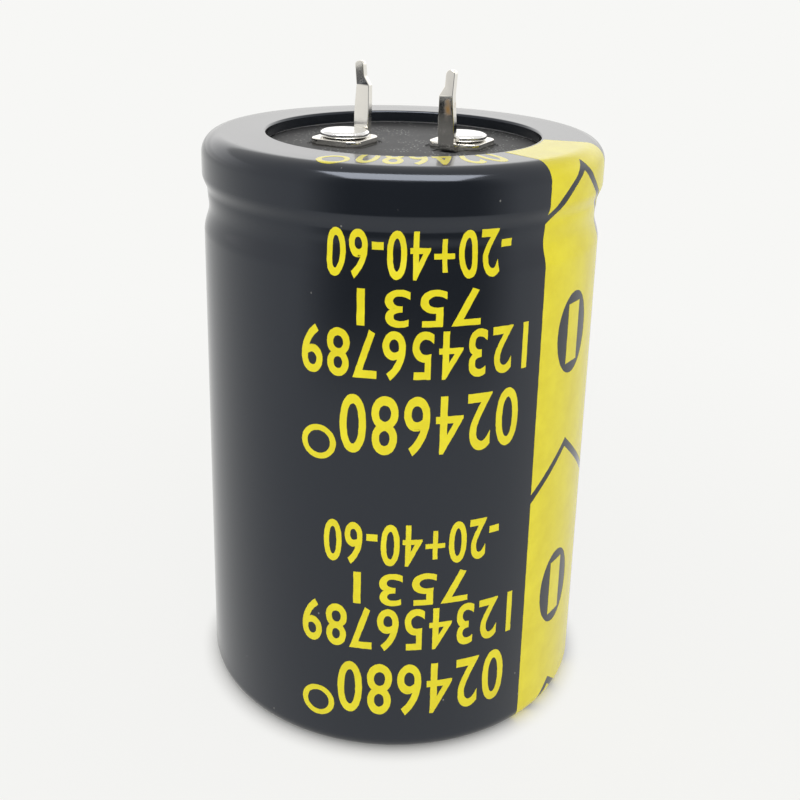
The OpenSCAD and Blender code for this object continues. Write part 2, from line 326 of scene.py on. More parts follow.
@dataclass(frozen=True)
class SealRubber(Finish):
    """Moulded rubber facing: matt, with filler specks, dust in the middle and painted shade
    at the rim.
    """

    light: str = "#46474a"
    # Radii between which the pale mottle fades out into painted shade towards the rim
    dust_and_shade_r: Point = (4.5, 11.5)
    mottle: float = 3.0
    specks_between: Point = (0.44, 0.58)
    grain: float = 0.22
    grain_height: float = 0.02
    speck_spacing: float = 0.36
    speck_radius: float = 0.1
    speck_core: float = 0.4
    speck: str = "#b9bab8"

    def pattern(self, tree: Tree, shader: Node, place: Socket) -> None:
        """Draws the ground, dusty in the middle and darker towards the rim as painted
        shade, the specks and grain.

        Args:
            tree: The material's nodes.
            shader: Its principled shader.
            place: Object coordinates, in metres.
        """
        mottle = add_node(tree, "TexNoise", speckle(place, self.mottle, 3.0))
        # Painted shade: the pale mottle fades out towards the rim wall, so the facing is
        # painted darker there
        inner, outer = self.dust_and_shade_r
        away = from_axis(tree, place)
        shade_to_rim = ramp(away, outer * MM, inner * MM)
        reach = add_node(tree, "MapRange", shade_to_rim, interpolation_type="SMOOTHSTEP")
        dust = add_node(tree, "Math", {0: mottle, 1: reach}, operation="MULTIPLY")
        tints = {SHARE: dust, FIRST: linear(self.colour), SECOND: linear(self.light)}
        ground = add_node(tree, "Mix", tints, data_type="RGBA")
        cells = add_node(
            tree, "TexVoronoi", {"Vector": place, "Scale": per_size(self.speck_spacing)}
        )
        edge = self.speck_radius / self.speck_spacing
        near = add_node(tree, "MapRange", ramp(cells, edge, self.speck_core * edge))
        patch = add_node(tree, "MapRange", ramp(mottle, *self.specks_between))
        specks = add_node(tree, "Math", {0: near, 1: patch}, operation="MULTIPLY")
        tints = {SHARE: specks, FIRST: ground, SECOND: linear(self.speck)}
        tone = add_node(tree, "Mix", tints, data_type="RGBA")
        grain = add_node(tree, "TexNoise", speckle(place, self.grain, 3.0))
        skin = add_node(tree, "Bump", {"Height": grain, "Distance": self.grain_height * MM})
        feed(tree, shader, {"Base Color": tone, "Normal": skin})


@dataclass(frozen=True)
class PlatedMetal(Finish):
    """Metal with a plated or pressed skin: uneven in its gloss, with rub marks."""

    dull: float = 0.12
    patch: float = 1.2
    patches_between: Point = (0.3, 0.7)
    rub: float = 0.14
    rub_height: float = 0.0008

    def pattern(self, tree: Tree, shader: Node, place: Socket) -> None:
        """Draws duller patches and fine rub marks.

        Args:
            tree: The material's nodes.
            shader: Its principled shader.
            place: Object coordinates, in metres.
        """
        patches = add_node(tree, "TexNoise", speckle(place, self.patch, 3.0))
        levels = (self.roughness, self.roughness + self.dull)
        gloss = add_node(tree, "MapRange", ramp(patches, *self.patches_between, *levels))
        marks = add_node(tree, "TexNoise", speckle(place, self.rub, 3.0))
        skin = add_node(tree, "Bump", {"Height": marks, "Distance": self.rub_height * MM})
        feed(tree, shader, {"Roughness": gloss, "Normal": skin})


@dataclass(frozen=True)
class FluxedMetal(PlatedMetal):
    """The same metal with a spot of burnt flux, its edge ragged."""

    flux: str = "#c2924a"
    flux_at: Place = (5.05, -0.2, 54.4)
    flux_reach: Place = (0.45, 1.0, 1.1)
    flux_between: Point = (1.5, 0.8)
    flux_metallic: float = 0.25
    ragged: float = 0.5

    def pattern(self, tree: Tree, shader: Node, place: Socket) -> None:
        """Draws the plated skin, and the spot on top of it.

        Args:
            tree: The material's nodes.
            shader: Its principled shader.
            place: Object coordinates, in metres.
        """
        super().pattern(tree, shader, place)
        at, reach = ([c * MM for c in size] for size in (self.flux_at, self.flux_reach))
        frame_of_spot = {"Vector": place, "Location": at, "Scale": reach}
        spot = add_node(tree, "Mapping", frame_of_spot, vector_type="TEXTURE")
        away = add_node(tree, "VectorMath", {0: spot}, operation="LENGTH")
        edge = add_node(tree, "TexNoise", speckle(place, self.ragged, 3.0))
        past = add_node(tree, "Math", {0: away, 1: edge}, operation="ADD")
        cover = add_node(tree, "MapRange", ramp(past, *self.flux_between))
        tints = {SHARE: cover, FIRST: linear(self.colour), SECOND: linear(self.flux)}
        tone = add_node(tree, "Mix", tints, data_type="RGBA")
        levels = ramp(cover, 0.0, 1.0, self.metallic, self.flux_metallic)
        metal = add_node(tree, "MapRange", levels)
        feed(tree, shader, {"Base Color": tone, "Metallic": metal})


@dataclass(frozen=True)
class RoundGrain(Finish):
    """A face whose pattern runs in rings: the marks of a drawing press, or wound layers."""

    other: str = "#c3c4c6"
    ring: float = 0.3
    ring_height: float = 0.004
    rings_between: Point = (0.35, 0.65)
    contrast: float = 0.5

    def pattern(self, tree: Tree, shader: Node, place: Socket) -> None:
        """Draws rings of uneven tone about the can's axis, and a bump of the same rings.

        Args:
            tree: The material's nodes.
            shader: Its principled shader.
            place: Object coordinates, in metres.
        """
        rings = add_node(
            tree,
            "TexNoise",
            {"W": from_axis(tree, place), "Scale": per_size(self.ring), "Detail": 3.0},
            noise_dimensions="1D",
        )
        levels = ramp(rings, *self.rings_between, high=self.contrast)
        share = add_node(tree, "MapRange", levels)
        tints = {SHARE: share, FIRST: linear(self.colour), SECOND: linear(self.other)}
        tone = add_node(tree, "Mix", tints, data_type="RGBA")
        skin = add_node(tree, "Bump", {"Height": rings, "Distance": self.ring_height * MM})
        feed(tree, shader, {"Base Color": tone, "Normal": skin})


class Finishes(Enum):
    """The finishes of the part."""

    # Plasticised PVC, shrunk tight: a black mirror, softened by its own faint waves
    FILM = ShrunkFilm(
        "pvc_shrink_film_gloss_black", "#14171b", 0.13, ior=1.54, sheen="#e6eeff"
    )
    # Solvent ink rolled on the film: opaque, a little less glossy than the film
    INK = PrintedInk("printed_ink_yellow", "#f4e71f", 0.24)
    # Filled rubber from a mould: no gloss, with pale filler showing as specks
    RUBBER = SealRubber("moulded_rubber_dust_and_rim_shade_black", "#191a1c", 0.6)
    # Bright tin over stamped copper-clad steel: a slightly warm, slightly uneven mirror
    TIN = PlatedMetal("tin_plate_bright", "#e8e5de", 0.08, 1.0, dull=0.07)
    # The same tin with a spot of burnt flux: amber, half clear, over the mirror
    TIN_FLUXED = FluxedMetal("tin_plate_with_flux", "#e8e5de", 0.08, 1.0, dull=0.07)
    # Aluminium under a press: a bright face with a soft gloss
    RIVET = PlatedMetal("aluminium_pressed_bright", "#e9e9e8", 0.18, 1.0, dull=0.1)
    # Deep-drawn aluminium: satin, with the faint rings of the press
    CAN = RoundGrain("aluminium_deep_drawn_satin", "#d2d3d5", 0.3, 1.0, contrast=0.4)
    # Rolled aluminium strip: a dull sheen
    SHEET = PlatedMetal("aluminium_rolled_strip", "#dadbdc", 0.28, 1.0)
    # Paper pressed in phenolic resin: brown, half matt
    BOARD = RoundGrain(
        "phenolic_paper_laminate", "#5c3a22", 0.45, other="#6d4a2d", ring=1.5
    )
    # The ends of wound foil and paper: fine rings of grey and cream
    ROLL = RoundGrain(
        "wound_foil_and_paper", "#cdbf9f", 0.6, other="#9d9a92", ring=0.25, contrast=1.0
    )
    # Polypropylene tape: smooth amber
    TAPE = PlatedMetal("polypropylene_tape_amber", "#c08a35", 0.2, 0.0, dull=0.05)


def arc(centre: Point, radius: float, start: float, end: float, steps: int) -> list[Point]:
    """Gives the points of an arc.

    Args:
        centre: Radius and height of the arc's centre.
        radius: The arc's radius.
        start: First angle, in degrees above the horizontal.
        end: Last angle, in degrees.
        steps: Number of steps between them.

    Returns:
        The points as radius and height.
    """
    turns = [math.radians(start + (end - start) * i / steps) for i in range(steps + 1)]
    x, y = centre
    return [(x + radius * math.cos(t), y + radius * math.sin(t)) for t in turns]


@dataclass
class Film:
    """The film's skin, drawn again from the sizes of the part's source."""

    can_r: float = 17.5
    can_top: float = 51.55
    thickness: float = 0.25
    foot_r: float = 1.2
    hole_r: float = 14.2
    shoulder_r: float = 1.5
    open_r: float = 12.45
    swell: float = 0.1
    edge_z: float = 50.75
    bead_z: float = 46.05
    neck_depth: float = 0.45
    neck_floor: float = 1.4
    neck_up: float = 1.6
    neck_down: float = 2.2
    arc_steps: int = 14
    neck_steps: int = 44
    round_steps: int = 288
    ink_room: float = 0.012
    ring_gap: float = 0.4
    heights: list[float] = field(default_factory=list)
    skin: list[Point] = field(default_factory=list)

    def __post_init__(self) -> None:
        """Measures the skin, so that a height on the plain wall is its own length."""
        self.skin = self.line(self.thickness - self.ink_room)
        lengths = [0.0]
        for low, high in zip(self.skin, self.skin[1:]):
            lengths.append(lengths[-1] + math.dist(low, high))
        wall = self.arc_steps + 1
        shift = self.skin[wall][1] - lengths[wall]
        self.heights = [length + shift for length in lengths]

    @property
    def wall_r(self) -> float:
        """Gives the radius of the plain wall."""
        return self.can_r + self.thickness

    def neck(self, height: float, off: float) -> float:
        """Gives the radius of the film where it follows the can's neck.

        Args:
            height: Height above the foot.
            off: Distance outside the can.

        Returns:
            The radius.
        """
        above = height > self.bead_z
        flank = self.neck_up if above else self.neck_down
        past = abs(height - self.bead_z) - self.neck_floor / 2
        hump = 1.0 if past <= 0 else 0.0
        if 0 < past < flank:
            hump = (1 + math.cos(math.pi * past / flank)) / 2
        rise = (height - self.bead_z) / self.neck_floor + 0.5
        wider = self.swell * (1 - math.cos(math.pi * min(max(rise, 0.0), 1.0))) / 2
        return self.can_r + wider + off - self.neck_depth * hump

    def line(self, off: float) -> list[Point]:
        """Draws the film's section at a distance outside the can.

        Args:
            off: The distance.

        Returns:
            Points from the hole at the closed end up to the edge inside the rim.
        """
        foot = (self.can_r - self.foot_r, self.thickness + self.foot_r)
        wide = self.can_r + self.swell
        shoulder = (wide - self.shoulder_r, self.can_top - self.shoulder_r)
        turn = (self.open_r, self.can_top)
        low = self.bead_z - self.neck_floor / 2 - self.neck_down
        high = self.bead_z + self.neck_floor / 2 + self.neck_up
        plain = [foot[1] + self.ring_gap, low - self.ring_gap]
        steps = self.neck_steps
        rises = [low + (high - low) * i / steps for i in range(steps + 1)]
        return (
            [(self.hole_r, self.thickness - off)]
            + arc(foot, self.foot_r + off, -90, 0, self.arc_steps)
            + [(self.neck(z, off), z) for z in plain + rises]
            + arc(shoulder, self.shoulder_r + off, 0, 90, self.arc_steps)
            + arc(turn, off, 90, 180, self.arc_steps)
            + [(self.open_r - off, self.edge_z)]
        )

    def along(self, height: float) -> float:
        """Turns a height on the outside of the film into a length along its skin.

        Args:
            height: Height above the foot.

        Returns:
            The length, which is the height itself on the plain wall.
        """
        first, last = 1, len(self.skin) - self.arc_steps - 3
        for i in range(first, last):
            (_, low), (_, high) = self.skin[i], self.skin[i + 1]
            if low <= height <= high and high > low:
                share = (height - low) / (high - low)
                return self.heights[i] + share * (self.heights[i + 1] - self.heights[i])
        return self.heights[first] if height < self.skin[first][1] else self.heights[last]

    def spot(self, round_by: float, up_by: float, lift: float) -> Vector:
        """Finds a place on the film.

        Args:
            round_by: Way round the wall from the line of the pins.
            up_by: Length along the skin.
            lift: Distance out of the skin.

        Returns:
            The place, in millimetres.
        """
        i = 0
        while i < len(self.skin) - 2 and self.heights[i + 1] < up_by:
            i += 1
        (r0, z0), (r1, z1) = self.skin[i], self.skin[i + 1]
        run = self.heights[i + 1] - self.heights[i]
        share = (up_by - self.heights[i]) / run
        radius = r0 + share * (r1 - r0) + lift * (z1 - z0) / run
        height = z0 + share * (z1 - z0) - lift * (r1 - r0) / run
        turn = round_by / self.wall_r
        return Vector((radius * math.cos(turn), radius * math.sin(turn), height))

    def build(self) -> Object:
        """Spins the film about the can's axis.

        Returns:
            The sleeve's piece.
        """
        mesh = bmesh.new()
        section = self.skin + self.line(0.0)[::-1]
        verts = [mesh.verts.new((r, 0.0, z)) for r, z in section]
        edges = [mesh.edges.new(pair) for pair in zip(verts, verts[1:] + verts[:1])]
        bmesh.ops.spin(
            mesh,
            geom=verts + edges,
            cent=(0, 0, 0),
            axis=(0, 0, 1),
            angle=math.tau,
            steps=self.round_steps,
            use_merge=True,
        )
        return finish_piece("shrink_film", mesh, Finishes.FILM, ["sleeve"])


def finish_piece(
    name: str,
    mesh: BMesh,
    finish: Finishes,
    nodes: list[str],
    sharp: float = 35.0,
) -> Object:
    """Turns a mesh in millimetres into a piece of the part.

    Args:
        name: The piece's name.
        mesh: Its mesh, which is freed.
        finish: Its finish.
        nodes: The CAD nodes that it stands for.
        sharp: Angle in degrees past which an edge stays sharp.

    Returns:
        The piece, which rides on the part's body.
    """
    bmesh.ops.remove_doubles(mesh, verts=mesh.verts, dist=ONE_POINT)
    bmesh.ops.recalc_face_normals(mesh, faces=mesh.faces)
    bmesh.ops.scale(mesh, vec=(MM,) * 3, verts=mesh.verts)
    for face in mesh.faces:
        face.smooth = True
    piece = mesh_object(name, mesh, finish.value.material())
    piece.data.set_sharp_from_angle(angle=math.radians(sharp))
    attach(piece, BODY)
    if nodes:
        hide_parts(*nodes)
    LOG.info("%s: %d faces", name, len(piece.data.polygons))
    return piece


class Shape(Enum):
    """How a row's mark is drawn beside its figures."""

    NONE = 0
    RING = 1


@dataclass
class Row:
    """One row of plain figures, which reads with the pins down.

    Its left and right ends are measured round the wall from the line that faces the camera.
    """

    figures: str
    middle: float
    height: float
    left: float
    right: float
    mark: Shape = Shape.NONE


@dataclass
class Print:
    """The ink on the film: the polarity stripe, and rows of figures beside it."""

    film: Film
    facing: float = math.radians(-53.3)
    pitch: float = 24.5
    row_pitch: float = 24.7
    ink_low: float = -0.01
    ink_high: float = 0.012
    cell: float = 0.3
    rough: float = 0.03
    rough_size: float = 0.25
    stripe_w: float = 11.0
    stripe_turn: float = 5.3
    chevron_foot: float = 22.0
    chevron_rise: float = 4.5
    chevron_line: float = 0.85
    mark_rise: float = 14.7
    mark_shift: float = -0.8
    oval: Point = (5.0, 7.3)
    bar: Point = (1.9, 5.3)
    bold: float = 0.07
    sharpest: float = 0.25
    least_turn: float = 0.1
    letter_gap: float = 1.12
    curve_steps: int = 8
    edge: float = 0.08
    ring_r: float = 1.5
    ring_line: float = 0.5
    ring_drop: float = 2.0
    ring_middle: float = -6.4
    rows: tuple[Row, ...] = (
        Row("-20+40-60", 45.15, 3.85, -5.9, 9.2),
        Row("7531", 40.97, 3.07, -3.3, 6.5),
        Row("123456789", 37.1, 4.06, -7.9, 11.1),
        Row("024680", 31.15, 5.1, -4.6, 10.5, Shape.RING),
    )

    def flat_mesh(self, curve: bpy.types.Curve) -> BMesh:
        """Fills a flat curve or text and gives its mesh.

        Args:
            curve: The curve's data, which is removed.

        Returns:
            The filled region, in millimetres.
        """
        drawn = link_object("drawn", curve)
        depsgraph = bpy.context.evaluated_depsgraph_get()
        data = bpy.data.meshes.new_from_object(drawn.evaluated_get(depsgraph))
        mesh = bmesh.new()
        mesh.from_mesh(data)
        bmesh.ops.remove_doubles(mesh, verts=mesh.verts, dist=ONE_POINT)
        bpy.data.objects.remove(drawn)
        bpy.data.curves.remove(curve)
        bpy.data.meshes.remove(data)
        return mesh

    def outlines(self, loops: list[list[Point]]) -> BMesh:
        """Fills closed outlines, in which an inner one is a hole.

        Args:
            loops: The outlines.

        Returns:
            The filled region.
        """
        curve = bpy.data.curves.new("outline", "CURVE")
        curve.dimensions = "2D"
        curve.fill_mode = "BOTH"
        for loop in loops:
            spline = curve.splines.new("POLY")
            spline.points.add(len(loop) - 1)
            for point, (x, y) in zip(spline.points, loop):
                point.co = (x, y, 0, 1)
            spline.use_cyclic_u = True
        return self.flat_mesh(curve)

    def cut(self, mesh: BMesh, axis: int, at: float, side: int = 0) -> None:
        """Cuts a flat region along a straight line.

        Args:
            mesh: The region.
            axis: 0 for a cut at some way round, 1 for one at some length.
            at: Where the cut is.
            side: The side that is thrown away, -1 or 1, or 0 to keep both.
        """
        normal = Vector((1 - axis, axis, 0))
        bmesh.ops.bisect_plane(
            mesh,
            geom=mesh.verts[:] + mesh.edges[:] + mesh.faces[:],
            plane_co=normal * at,
            plane_no=normal * (side or 1),
            clear_outer=side != 0,
        )

    def lay(self, mesh: BMesh, whole: BMesh) -> None:
        """Lays a flat region on the film as a thin solid skin of ink.

        Args:
            mesh: The region, x round the wall and y along the skin. It is freed.
            whole: The mesh that collects the ink.
        """
        low, high = self.film.heights[0] + self.edge, self.film.heights[-1] - self.edge
        self.cut(mesh, 1, low, -1)
        self.cut(mesh, 1, high, 1)
        for axis in (0, 1):
            ends = [v.co[axis] for v in mesh.verts]
            first, last = (int(end // self.cell) + 1 for end in (min(ends), max(ends)))
            for i in range(first, last):
                self.cut(mesh, axis, i * self.cell)
        for vert in mesh.verts:
            away = noise.noise_vector(vert.co / self.rough_size)
            vert.co.x += self.rough * away.x
            vert.co.y = min(max(vert.co.y + self.rough * away.y, low), high)
        made = bmesh.ops.extrude_face_region(mesh, geom=mesh.faces[:])
        upper = {v for v in made["geom"] if isinstance(v, Vert)}
        bmesh.ops.recalc_face_normals(mesh, faces=mesh.faces)
        for vert in mesh.verts:
            lift = self.ink_high if vert in upper else self.ink_low
            vert.co = self.film.spot(vert.co.x, vert.co.y, lift)
        data = bpy.data.meshes.new("laid")
        mesh.to_mesh(data)
        mesh.free()
        whole.from_mesh(data)
        bpy.data.meshes.remove(data)

    def chevron(self, foot: float, side: float, step: float = 0.25) -> list[Point]:
        """Draws one edge of a chevron across the stripe.

        Args:
            foot: Height of the chevron's feet.
            side: -1 for its lower edge and 1 for its upper one.
            step: Distance between points.

        Returns:
            Points from left to right, as way round and height.
        """
        half, count = self.stripe_w / 2, round(self.stripe_w / step)
        across = [-half + self.stripe_w * i / count for i in range(count + 1)]
        across = sorted(across + [self.mark_shift])
        top = foot + self.chevron_rise + side * self.chevron_line / 2
        slope = self.chevron_rise / half
        return [(u, top - slope * abs(u - self.mark_shift)) for u in across]

    def ellipse(self, size: Point, centre: Point, steps: int = 72) -> list[Point]:
        """Draws an ellipse.

        Args:
            size: Its width and height.
            centre: Its middle.
            steps: Number of its points.

        Returns:
            The outline.
        """
        turns = [math.tau * i / steps for i in range(steps)]
        (wide, high), (x, y) = size, centre
        return [(x + wide / 2 * math.cos(t), y + high / 2 * math.sin(t)) for t in turns]

    def on_skin(self, points: list[Point]) -> list[Point]:
        """Turns the heights of points into lengths along the film's skin."""
        return [(u, self.film.along(z)) for u, z in points]

    def stripe_regions(self) -> Iterator[list[list[Point]]]:
        """Draws the stripe between its chevrons, with its minus marks.

        Yields:
            Outlines of one region, as way round and length along the skin.
        """
        half = self.stripe_w / 2
        start, end = self.film.heights[0], self.film.heights[-1]
        foots = [self.chevron_foot + (1 - i) * self.pitch for i in range(3)]
        upper = [(half, end), (-half, end)]
        for i, foot in enumerate(foots[:2]):
            loops = [self.on_skin(self.chevron(foot, 1)) + upper]
            if i > 0:
                middle = (self.mark_shift, foot + self.mark_rise)
                loops.append(self.ellipse(self.oval, middle))
            yield loops
            upper = self.on_skin(self.chevron(foot, -1))[::-1]
        last = foots[2]
        oval = self.ellipse(self.oval, (self.mark_shift, last + self.mark_rise))
        over, under = ([p for p in self.chevron(last, s) if p[1] > 0] for s in (1, -1))
        line = self.on_skin(over) + self.on_skin(under)[::-1]
        yield [[(-half, start), (half, start)] + upper, oval, line]
        width, height = (s / 2 for s in self.bar)
        corners = ((-width, -height), (width, -height), (width, height), (-width, height))
        for foot in foots[1:]:
            middle = foot + self.mark_rise
            yield [[(self.mark_shift + x, middle + y) for x, y in corners]]

    def build_stripe(self) -> Object:
        """Lays the polarity stripe on the film.

        Returns:
            The stripe's piece.
        """
        whole = bmesh.new()
        turn = math.radians(self.stripe_turn) * self.film.wall_r
        for loops in self.stripe_regions():
            region = self.outlines(loops)
            bmesh.ops.translate(region, vec=(turn, 0, 0), verts=region.verts)
            self.lay(region, whole)
        return finish_piece(
            "polarity_stripe_ink", whole, Finishes.INK, ["polarity_print"]
        )

    def embolden(self, mesh: BMesh) -> None:
        """Moves every outline of a flat region outwards, which makes its strokes bolder.

        Args:
            mesh: The region.
        """
        bmesh.ops.remove_doubles(mesh, verts=mesh.verts, dist=self.bold / 2)
        moves: dict[Vert, Vector] = {}
        for vert in mesh.verts:
            total = Vector()
            for edge in vert.link_edges:
                if not edge.is_boundary:
                    continue
                run = edge.verts[1].co - edge.verts[0].co
                out = Vector((run.y, -run.x, 0)).normalized()
                inside = edge.link_faces[0].calc_center_median() - edge.verts[0].co
                total += out if out.dot(inside) < 0 else -out
            if total.length > self.least_turn:
                sharp = max(total.length / 2, self.sharpest)
                moves[vert] = total.normalized() * self.bold / sharp
        for vert, move in moves.items():
            vert.co += move

    def figures(self, row: Row, up_by: float) -> BMesh:
        """Draws a row's figures, upside down, in the space that the row takes.

        Args:
            row: The row.
            up_by: Length along the skin to the middle of the row.

        Returns:
            The filled figures.
        """
        text = bpy.data.curves.new("row", "FONT")
        text.body = row.figures
        text.resolution_u = self.curve_steps
        text.space_character = self.letter_gap
        mesh = self.flat_mesh(text)
        along = tuple(zip(*(v.co for v in mesh.verts)))
        low, high = (Vector(map(pick, along)) for pick in (min, max))
        wide, tall, _ = high - low
        bmesh.ops.translate(mesh, vec=(low + high) / -2, verts=mesh.verts)
        room = 2 * self.bold
        size = ((row.right - row.left - room) / wide, (row.height - room) / tall, 1)
        bmesh.ops.scale(mesh, vec=size, verts=mesh.verts)
        self.embolden(mesh)
        over = Matrix.Rotation(math.pi, 3, "Z")
        bmesh.ops.rotate(mesh, matrix=over, verts=mesh.verts)
        middle = self.facing * self.film.wall_r + (row.left + row.right) / 2
        bmesh.ops.translate(mesh, vec=(middle, up_by, 0), verts=mesh.verts)
        return mesh

    def ring(self, up_by: float) -> BMesh:
        """Draws the plain ring that stands beside the tallest row.

        Args:
            up_by: Length along the skin to the middle of the row.

        Returns:
            The filled ring.
        """
        radii = (self.ring_r, self.ring_r - self.ring_line)
        loops = [self.ellipse((2 * r, 2 * r), (0.0, 0.0), 48) for r in radii]
        mesh = self.outlines(loops)
        middle = self.facing * self.film.wall_r + self.ring_middle
        place = (middle, up_by - self.ring_drop, 0)
        bmesh.ops.translate(mesh, vec=place, verts=mesh.verts)
        return mesh

    def build_rows(self) -> Object:
        """Lays every repeat of the rows that the film still shows.

        Returns:
            The figures' piece.
        """
        whole = bmesh.new()
        low, high = self.film.heights[0], self.film.heights[-1]
        for row in self.rows:
            for repeat in (-1, 0, 1):
                middle = row.middle + repeat * self.row_pitch
                up_by = self.film.along(middle) if middle < self.film.can_top else middle
                if not low + row.height / 2 < up_by < high + row.height / 4:
                    continue
                self.lay(self.figures(row, up_by), whole)
                if row.mark is Shape.RING:
                    self.lay(self.ring(up_by), whole)
        return finish_piece("printed_figures", whole, Finishes.INK, [])


@dataclass
class RoundedCopies:
    """Smooth copies of pieces that were stamped, pressed or moulded, with rounded edges."""

    metal_edge: float = 0.07
    rubber_edge: float = 0.12
    rubber_reach: float = 11.5
    sharp: float = 12.0
    flat: float = 0.5
    one_point: float = 1e-3
    roundness: float = 0.5
    segments: int = 2

    def build(self) -> None:
        """Copies the rubber facing, the terminals and the rivets."""
        self.copy("rubber_seal", "rubber_facing", Finishes.RUBBER, "seal_rubber")
        for pole, tin in (("negative", Finishes.TIN_FLUXED), ("positive", Finishes.TIN)):
            self.copy(f"terminal_{pole}", f"pin_{pole}", tin, "tinned_terminal")
            head = f"rivet_head_{pole}"
            self.copy(f"rivet_{pole}", head, Finishes.RIVET, "rivet_aluminium")

    def copy(self, node: str, name: str, finish: Finishes, slot: str) -> None:
        """Copies a CAD node, rounds its edges and puts the copy in its place.

        Args:
            node: The CAD node.
            name: The piece's name.
            finish: Its finish.
            slot: The record's material slot, which is not used.
        """
        rubber = finish is Finishes.RUBBER
        edge = self.rubber_edge if rubber else self.metal_edge
        reach = self.rubber_reach if rubber else math.inf
        mesh = bmesh.new()
        mesh.from_mesh(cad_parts[node].data)
        bmesh.ops.scale(mesh, vec=(1 / MM,) * 3, verts=mesh.verts)
        bmesh.ops.remove_doubles(mesh, verts=mesh.verts, dist=self.one_point)
        bmesh.ops.dissolve_limit(
            mesh,
            angle_limit=math.radians(self.flat),
            verts=mesh.verts,
            edges=mesh.edges,
        )
        keen = [
            e
            for e in mesh.edges
            if len(e.link_faces) == 2
            and e.calc_face_angle(0.0) > math.radians(self.sharp)
            and e.verts[0].co.xy.length < reach
        ]
        bmesh.ops.bevel(
            mesh,
            geom=keen,
            offset=edge,
            segments=self.segments,
            profile=self.roundness,
            affect="EDGES",
            material=-1,
            clamp_overlap=True,
        )
        piece = finish_piece(name, mesh, finish, [node])
        flats = piece.modifiers.new("flat_faces_stay_flat", "WEIGHTED_NORMAL")
        flats.keep_sharp = True


@dataclass
class HiddenPieces:
    """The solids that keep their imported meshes, each with its own finish."""

    finishes: tuple[tuple[str, Finishes], ...] = (
        ("can", Finishes.CAN),
        ("sealing_board", Finishes.BOARD),
        ("washer_negative", Finishes.SHEET),
        ("washer_positive", Finishes.SHEET),
        ("tab_negative", Finishes.SHEET),
        ("tab_positive", Finishes.SHEET),
        ("winding", Finishes.ROLL),
        ("winding_tape", Finishes.TAPE),
    )

    def dress(self) -> None:
        """Puts each finish on its node's material slots."""
        for node, finish in self.finishes:
            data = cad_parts[node].data
            data.materials.clear()
            data.materials.append(finish.value.material())
            LOG.info("%s: %s", node, finish.value.name)


@dataclass(frozen=True)
class Fade:
    """Where a swept card is solid: ahead to some turn, and along its reach or height."""

    ahead: Place
    solid: float
    gone: float
    span: Point
    by_height: bool = False
    least: float = 0.0

    def draw(self, tree: Tree) -> Node:
        """Fades a card out to both sides, and along its span.

        Args:
            tree: The card's nodes.

        Returns:
            The node that gives 1 where the card is solid.
        """
        place = add_node(tree, "TexCoord").outputs["Object"]
        flat = add_node(tree, "VectorMath", {0: place, 1: (1, 1, 0)}, operation="MULTIPLY")
        unit = add_node(tree, "VectorMath", {0: flat}, operation="NORMALIZE")
        ahead = turned(self.ahead).normalized()
        facing = add_node(tree, "VectorMath", {0: unit, 1: ahead}, operation="DOT_PRODUCT")
        height = add_node(tree, "SeparateXYZ", {"Vector": place}).outputs["Z"]
        along = height if self.by_height else from_axis(tree, place)
        low, high = (math.cos(math.radians(turn)) for turn in (self.gone, self.solid))
        start, end = (s * MM for s in self.span)
        levels = (ramp(facing, low, high), ramp(along, start, end, self.least))
        sides, reach = (
            add_node(tree, "MapRange", level, interpolation_type="SMOOTHSTEP")
            for level in levels
        )
        return add_node(tree, "Math", {0: sides, 1: reach}, operation="MULTIPLY")


def turned(at: Place) -> Vector:
    """Turns a place in the studio, in millimetres, to the part's frame, in metres."""
    return Matrix.Rotation(STUDIO_TURN, 3, "Z") @ Vector(at) * MM


